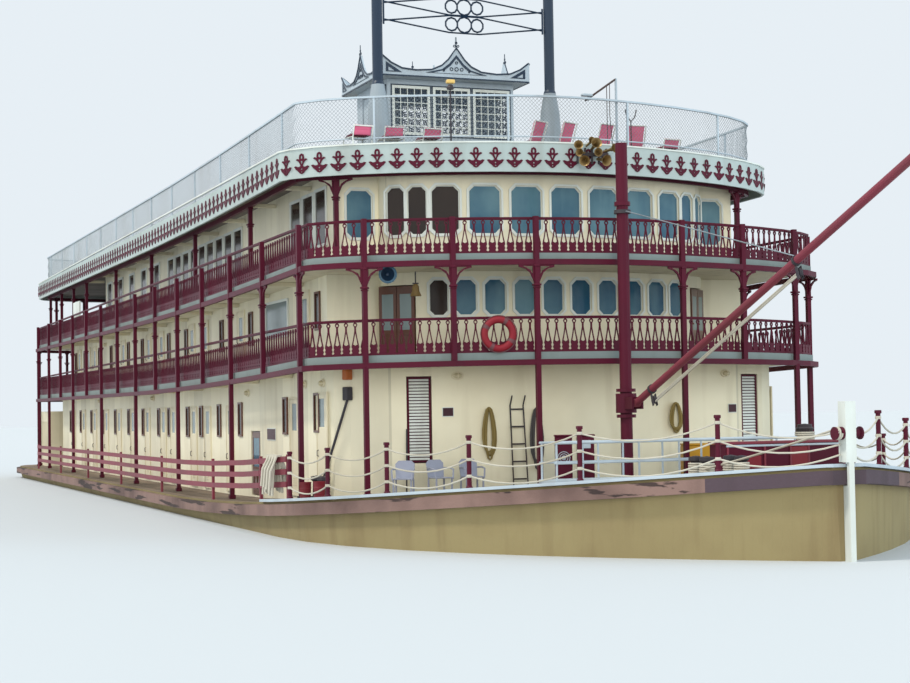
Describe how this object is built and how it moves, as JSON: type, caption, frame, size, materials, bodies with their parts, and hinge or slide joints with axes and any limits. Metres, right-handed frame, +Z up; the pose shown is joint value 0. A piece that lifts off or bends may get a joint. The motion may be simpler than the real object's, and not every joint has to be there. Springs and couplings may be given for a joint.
{
  "type": "stern-wheel river passenger steamer, half-size scale model",
  "caption": "Flat-bottomed river paddle steamer with a raking bow, railed verandas on three decks, bay-fronted deckhouses, pilot house, twin funnels and a stern wheel.",
  "frame": {"origin": "on the flat bottom's plane and the centreline, 16.75 m aft of the stem", "axes": "+X forward, +Y to port, +Z up"},
  "size_m": [33.1678, 8.29, 9.025],
  "materials": {
    "hull_paint": "worn satin paint",
    "cream_paint": "satin paint",
    "white_paint": "satin paint",
    "maroon_paint": "gloss paint",
    "red_paint": "gloss paint",
    "navy_paint": "gloss paint",
    "strake_timber": "weathered",
    "door_wood": "varnished",
    "deck_cover": "matt",
    "lamp_brass": "worn",
    "dark_iron": "painted"
  },
  "bodies": {
    "ship": {"hull": "hull_paint", "rubbing_strake": "strake_timber", "gunwale_and_stanchions": "maroon_paint", "stem_post": "white_paint", "plank_rail_starboard": "maroon_paint", "plank_rail_port": "maroon_paint", "house_1": "cream_paint", "house_2": "cream_paint", "saloon_bay": "cream_paint", "house_3": "cream_paint", "lounge_bay": "cream_paint", "deck_2": "white_paint", "deck_3": "white_paint", "roof_deck": "deck_cover", "roof_fascia": "white_paint", "veranda_frame_1": "maroon_paint", "veranda_frame_2": "maroon_paint", "veranda_frame_3": "maroon_paint", "railing_2": "maroon_paint", "railing_3": "maroon_paint", "top_rail": "white_paint", "screen_starboard": "white_paint", "screen_port": "white_paint", "mast": "maroon_paint", "landing_stage": "white_paint", "capstan_base": "dark_iron", "bollard_fore_starboard": "dark_iron", "bollard_fore_port": "dark_iron", "bollard_side_starboard": "dark_iron", "bollard_side_port": "dark_iron", "deck_chest": "maroon_paint", "pilot_house": "white_paint", "pilot_roof": "white_paint", "funnel_starboard": "navy_paint", "funnel_port": "navy_paint", "funnel_truss": "navy_paint", "lamp_cluster": "lamp_brass", "wheel_bearing_starboard": "dark_iron", "wheel_bearing_port": "dark_iron", "wheel_casing_starboard": "cream_paint", "wheel_casing_port": "cream_paint", "engine_block": "dark_iron"},
    "wheel": {"stern_wheel": "red_paint"},
    "rudder_c": {"rudder_centre": "dark_iron"},
    "rudder_s": {"rudder_starboard": "dark_iron"},
    "rudder_p": {"rudder_port": "dark_iron"},
    "swivel": {"boom_swivel": "maroon_paint"},
    "boom_pole": {"boom": "red_paint"},
    "capstan_barrel": {"capstan": "dark_iron"},
    "lid": {"chest_lid": "maroon_paint"},
    "saloon_starboard_inner": {"saloon_door_starboard_inner": "door_wood"},
    "saloon_starboard_outer": {"saloon_door_starboard_outer": "door_wood"},
    "saloon_port_inner": {"saloon_door_port_inner": "door_wood"},
    "saloon_port_outer": {"saloon_door_port_outer": "door_wood"},
    "entrance_starboard": {"entrance_door_starboard": "door_wood"},
    "entrance_port": {"entrance_door_port": "door_wood"},
    "pilot_starboard": {"pilot_door_starboard": "white_paint"},
    "pilot_port": {"pilot_door_port": "white_paint"},
    "louvre_starboard": {"louvre_door_starboard": "cream_paint"},
    "louvre_port": {"louvre_door_port": "cream_paint"}
  },
  "joints": [
    {"name": "stern_wheel_spin", "type": "hinge", "parent": "ship", "child": "wheel", "pos_m": [-13.8, 0, 1.235], "axis": [0, 1, 0], "continuous": true},
    {"name": "rudder_turn", "type": "hinge", "parent": "ship", "child": "rudder_c", "pos_m": [-11.9, 0, 0.35], "axis": [0, 0, 1], "range_deg": [-35, 35]},
    {"name": "rudder_starboard_turn", "type": "hinge", "parent": "ship", "child": "rudder_s", "pos_m": [-11.9, -1.45, 0.35], "axis": [0, 0, 1], "range_deg": [-35, 35]},
    {"name": "rudder_port_turn", "type": "hinge", "parent": "ship", "child": "rudder_p", "pos_m": [-11.9, 1.45, 0.35], "axis": [0, 0, 1], "range_deg": [-35, 35]},
    {"name": "boom_slew", "type": "hinge", "parent": "ship", "child": "swivel", "pos_m": [12, 0, 2.12], "axis": [0, 0, 1], "range_deg": [-70, 70]},
    {"name": "boom_luff", "type": "hinge", "parent": "swivel", "child": "boom_pole", "pos_m": [12.275, 0, 2.12], "axis": [0, -1, 0], "range_deg": [-20, 50]},
    {"name": "capstan_turn", "type": "hinge", "parent": "ship", "child": "capstan_barrel", "pos_m": [12.275, 2.39, 1.5], "axis": [0, 0, 1], "continuous": true},
    {"name": "chest_lid_open", "type": "hinge", "parent": "ship", "child": "lid", "pos_m": [13.0725, 1.375, 1.61238], "axis": [0, -1, 0], "range_deg": [0, 95]},
    {"name": "saloon_door_starboard_inner_swing", "type": "hinge", "parent": "ship", "child": "saloon_starboard_inner", "pos_m": [10.01002, -2.0468, 3.22835], "axis": [0, 0, 1], "range_deg": [0, 90]},
    {"name": "saloon_door_starboard_outer_swing", "type": "hinge", "parent": "ship", "child": "saloon_starboard_outer", "pos_m": [9.6651, -2.42247, 3.22835], "axis": [0, 0, -1], "range_deg": [0, 90]},
    {"name": "saloon_door_port_inner_swing", "type": "hinge", "parent": "ship", "child": "saloon_port_inner", "pos_m": [10.01002, 2.0468, 3.22835], "axis": [0, 0, -1], "range_deg": [0, 90]},
    {"name": "saloon_door_port_outer_swing", "type": "hinge", "parent": "ship", "child": "saloon_port_outer", "pos_m": [9.6651, 2.42247, 3.22835], "axis": [0, 0, 1], "range_deg": [0, 90]},
    {"name": "entrance_door_starboard_swing", "type": "hinge", "parent": "ship", "child": "entrance_starboard", "pos_m": [6.7, -3.2475, 1.33673], "axis": [0, 0, 1], "range_deg": [0, 90]},
    {"name": "pilot_door_starboard_swing", "type": "hinge", "parent": "ship", "child": "pilot_starboard", "pos_m": [4.975, -1.0325, 6.6025], "axis": [0, 0, -1], "range_deg": [0, 90]},
    {"name": "entrance_door_port_swing", "type": "hinge", "parent": "ship", "child": "entrance_port", "pos_m": [6.7, 3.2475, 1.33673], "axis": [0, 0, -1], "range_deg": [0, 90]},
    {"name": "pilot_door_port_swing", "type": "hinge", "parent": "ship", "child": "pilot_port", "pos_m": [4.975, 1.0325, 6.6025], "axis": [0, 0, 1], "range_deg": [0, 90]},
    {"name": "louvre_door_starboard_swing", "type": "hinge", "parent": "ship", "child": "louvre_starboard", "pos_m": [10.40694, -2.31517, 1.94883], "axis": [0, 0, -1], "range_deg": [0, 90]},
    {"name": "louvre_door_port_swing", "type": "hinge", "parent": "ship", "child": "louvre_port", "pos_m": [10.25875, 2.90884, 1.94883], "axis": [0, 0, 1], "range_deg": [0, 90]}
  ],
  "couplings": [
    {"joint": "rudder_starboard_turn", "follows": "rudder_turn", "ratio": 1},
    {"joint": "rudder_port_turn", "follows": "rudder_turn", "ratio": 1}
  ]
}
